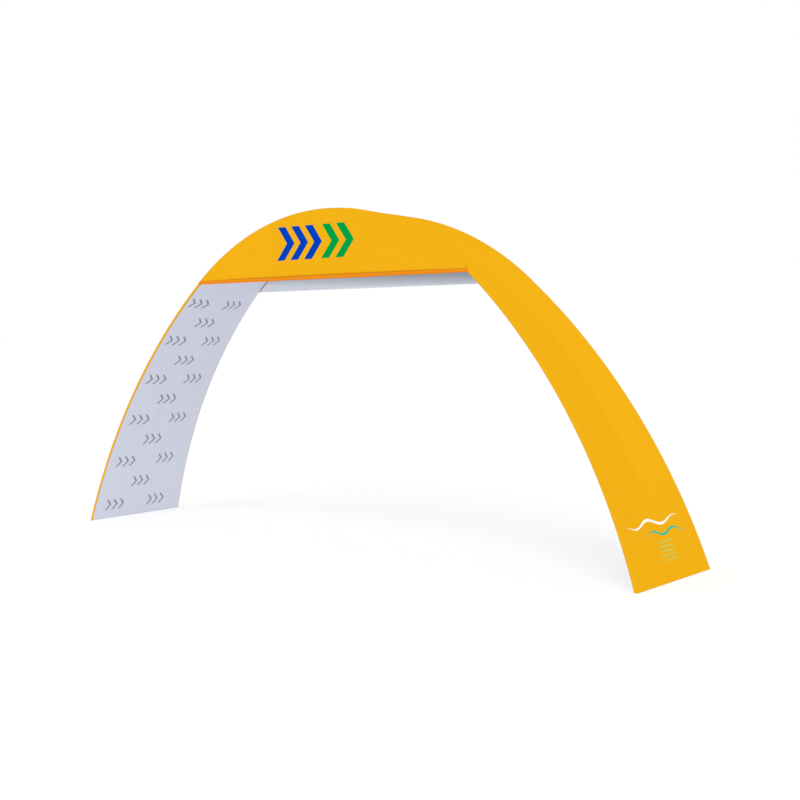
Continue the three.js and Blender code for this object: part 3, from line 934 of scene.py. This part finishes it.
# %% [markdown]
# ## Dressing the pieces
#
# A panel that shows on both sides is yellow outside and pale inside, as the knit is printed on
# one side only. The Solidify modifier can give its inner side a slot of its own.

# %% Give each piece of cloth its finish
def dress(piece, finish, lining=None):
    piece.data.materials.append(finish)
    if lining:
        piece.data.materials.append(lining)
        piece.modifiers["thickness"].material_offset = 1


dress(outer_skin, outside_finish, plain_pale)
dress(inner_skin, inside_finish, plain_pale)
dress(front_header, front_finish, front_lining)
dress(back_header, plain_yellow, back_lining)
dress(pocket, orange_finish)
print("the strip is", pocket.data.materials[0].name, "on both sides")

# %% [markdown]
# ## The frame
#
# The tubes are drawn aluminium, left bare: bright, with fine lines. Cloth covers them all, but
# whoever lifts a hem sees them, so they get a real finish too. The CAD solids stay as they are.

# %% Bare aluminium
metal = Sums("drawn_aluminium")
metal.shader.inputs["Metallic"].default_value = 1.0
metal.shader.inputs["IOR"].default_value = 1.5
lines = metal.noise(60, (1, 14, 14), 4)
grey = metal.blend(lines, (0.56, 0.57, 0.58, 1), (0.70, 0.71, 0.72, 1))
metal.put(metal.shader.inputs["Base Color"], grey)
metal.put(metal.shader.inputs["Roughness"], metal.do("MULTIPLY_ADD", lines, 0.2, 0.25))
lines_bump = metal.nodes.new("ShaderNodeBump")
lines_bump.inputs["Strength"].default_value = 0.15
lines_bump.inputs["Distance"].default_value = 0.0002
metal.put(lines_bump.inputs["Height"], lines)
metal.links.new(lines_bump.outputs["Normal"], metal.shader.inputs["Normal"])

frame_parts = [part for part in frame["record"]["subparts"] if part["material_slot"] == "frame"]
for part in frame_parts:
    slots = frame["nodes"][part["node"]].data.materials
    slots.clear()
    slots.append(metal.material)
print(len(frame_parts), "pieces of bare aluminium")

# %% [markdown]
# ## The room and the light
#
# The stand is shown on white. Half of the floor's brightness is a glow of its own, so that the
# shadow of the stand stays faint. Light Path adds the last that is missing from white only
# where the floor is seen directly, so that it throws no more light on the cloth.
#
# The light is the even light of an overcast day, with a broad soft sun from the front right to
# round the folds.

# %% Floor
FLOOR_RADIUS = 120
FLOOR_GREY = 0.42
FLOOR_GLOW = 0.50  # light of its own
UP_TO_WHITE = 0.09  # added where it is seen directly

floor_mesh = bmesh.new()
bmesh.ops.create_circle(floor_mesh, cap_ends=True, segments=96, radius=FLOOR_RADIUS)
floor_data = bpy.data.meshes.new("floor")
floor_mesh.to_mesh(floor_data)
floor_mesh.free()
floor = bpy.data.objects.new("floor", floor_data)
bpy.context.scene.collection.objects.link(floor)


def seen_directly(tree):
    """1 for rays that show the background: from the camera, in a mirror or through glass."""
    path = tree.nodes.new("ShaderNodeLightPath")
    total = path.outputs["Is Camera Ray"]
    for other in ("Is Glossy Ray", "Is Transmission Ray"):
        either = tree.nodes.new("ShaderNodeMath")
        either.operation = "MAXIMUM"
        tree.links.new(total, either.inputs[0])
        tree.links.new(path.outputs[other], either.inputs[1])
        total = either.outputs[0]
    return total


floor_paint = Sums("floor_paint")
floor_paint.shader.inputs["Roughness"].default_value = 1.0
floor_paint.shader.inputs["Specular IOR Level"].default_value = 0.0
floor_paint.shader.inputs["Base Color"].default_value = (FLOOR_GREY, FLOOR_GREY, FLOOR_GREY, 1)
floor_paint.shader.inputs["Emission Color"].default_value = (1, 1, 1, 1)
seen = seen_directly(floor_paint.material.node_tree)
glow = floor_paint.do("MULTIPLY_ADD", seen, UP_TO_WHITE, FLOOR_GLOW)
floor_paint.put(floor_paint.shader.inputs["Emission Strength"], glow)
floor_data.materials.append(floor_paint.material)
print(f"the floor is {FLOOR_RADIUS} m to each side")

# %% Sky and sun
SKY_LEVEL = 0.76
SUN_LEVEL = 1.20
SUN_WIDTH = math.radians(35)
TO_SUN = Vector((0.42, -0.58, 0.70))

world = bpy.data.worlds.new("overcast")
bpy.context.scene.world = world
world.use_nodes = True
sky = world.node_tree
background = sky.nodes["Background"]
background.inputs["Color"].default_value = (1, 1, 1, 1)
level = sky.nodes.new("ShaderNodeMapRange")
level.inputs["To Min"].default_value = SKY_LEVEL
level.inputs["To Max"].default_value = 1.0  # white, where the sky is seen directly
sky.links.new(seen_directly(sky), level.inputs["Value"])
sky.links.new(level.outputs["Result"], background.inputs["Strength"])

sun_data = bpy.data.lights.new("soft_sun", "SUN")
sun_data.energy = SUN_LEVEL
sun_data.angle = SUN_WIDTH
sun = bpy.data.objects.new("soft_sun", sun_data)
bpy.context.scene.collection.objects.link(sun)
sun.rotation_euler = TO_SUN.to_track_quat("Z", "Y").to_euler()
bpy.context.scene.view_settings.view_transform = "Standard"
print(f"sky {SKY_LEVEL:.2f}, sun {SUN_LEVEL:.2f}")

# %% [markdown]
# ## The camera
#
# The camera stands in front and to the right, 2 m up, a little over a person's eyes. It rolls
# a little, as one held in the hand does. Its turn, tilt and roll are three plain rotations,
# multiplied in order.

# %% Camera
CAMERA_PLACE = (8.2536, -9.0081, 2.0466)
TURN = math.radians(40.617)  # to the left of straight back
TILT = math.radians(90 - 3.579)  # up from straight down
ROLL = math.radians(-1.233)

camera_data = bpy.data.cameras.new("hand_held")
camera_data.sensor_width = 36
camera_data.lens = 60.80
camera_data.clip_end = 500
camera = bpy.data.objects.new("hand_held", camera_data)
bpy.context.scene.collection.objects.link(camera)
turned = Matrix.Rotation(TURN, 4, "Z") @ Matrix.Rotation(TILT, 4, "X") @ Matrix.Rotation(ROLL, 4, "Z")
camera.matrix_world = Matrix.Translation(CAMERA_PLACE) @ turned
bpy.context.scene.camera = camera
print("the camera stands", round(camera.location.length, 2), "m away")

# %% [markdown]
# ## What each piece is
#
# Each piece of cloth takes the place of the plain solid of the same part, which is hidden, hangs
# under the root body and says how large it was when it was cut. The flat areas are added up from
# the strips.

# %% Say what each piece is
def flat_area(piece):
    """The area of the cloth on the cutting table, from its print map."""
    cloth = bmesh.new()
    cloth.from_mesh(piece.data)
    print_map = cloth.loops.layers.uv["print"]
    total = 0
    for face in cloth.faces:
        spots = [loop[print_map].uv for loop in face.loops]
        total += abs(sum(a.cross(b) for a, b in zip(spots, spots[1:] + spots[:1]))) / 2
    cloth.free()
    return total


TUBES = [part["node"] for part in frame_parts if "tube" in part["node"]]
foot_girth = 2 * (FOOT_DEPTH + SEAM * SLEEVE)


def header_size(face, bottom):
    """The width of a header along its lower edge, and its height with the turned edge."""
    width = 2 * arch_line(face, length_at(face, bottom, SLEEVE), SLEEVE)[0]
    return width, arch_line(face, 0, SLEEVE)[1] - bottom + (QUARTER - REACH) * SLEEVE


# Each row: (piece, CAD node, record slot, cut size in metres, how it is held, what holds it)
PIECES = [
    (outer_skin, "outer_skin", "yellow_cloth", (foot_girth, 2 * HALF_LENGTH), "stretched", TUBES),
    (inner_skin, "inner_skin", "grey_cloth", (2 * FOOT_DEPTH, 2 * HALF_LENGTH), "stretched", TUBES),
    (front_header, "front_header", "yellow_cloth", header_size(-1, front_bottom), "stretched",
     "front_crown_tube"),
    (back_header, "back_header", "yellow_cloth", header_size(1, back_bottom), "stretched",
     "back_crown_tube"),
    (pocket, "rod_pocket", "orange_cloth", (STRIP, 2 * pocket_half), "hung", "header_rod"),
]
for piece, node, slot, size, held, holder in PIECES:
    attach(piece, "root")
    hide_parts(node)
    area = flat_area(piece)
    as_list(holder)
    print(f"{piece.name}: cut {size[0]:.2f} by {size[1]:.2f} m, {area:.2f} square metres")
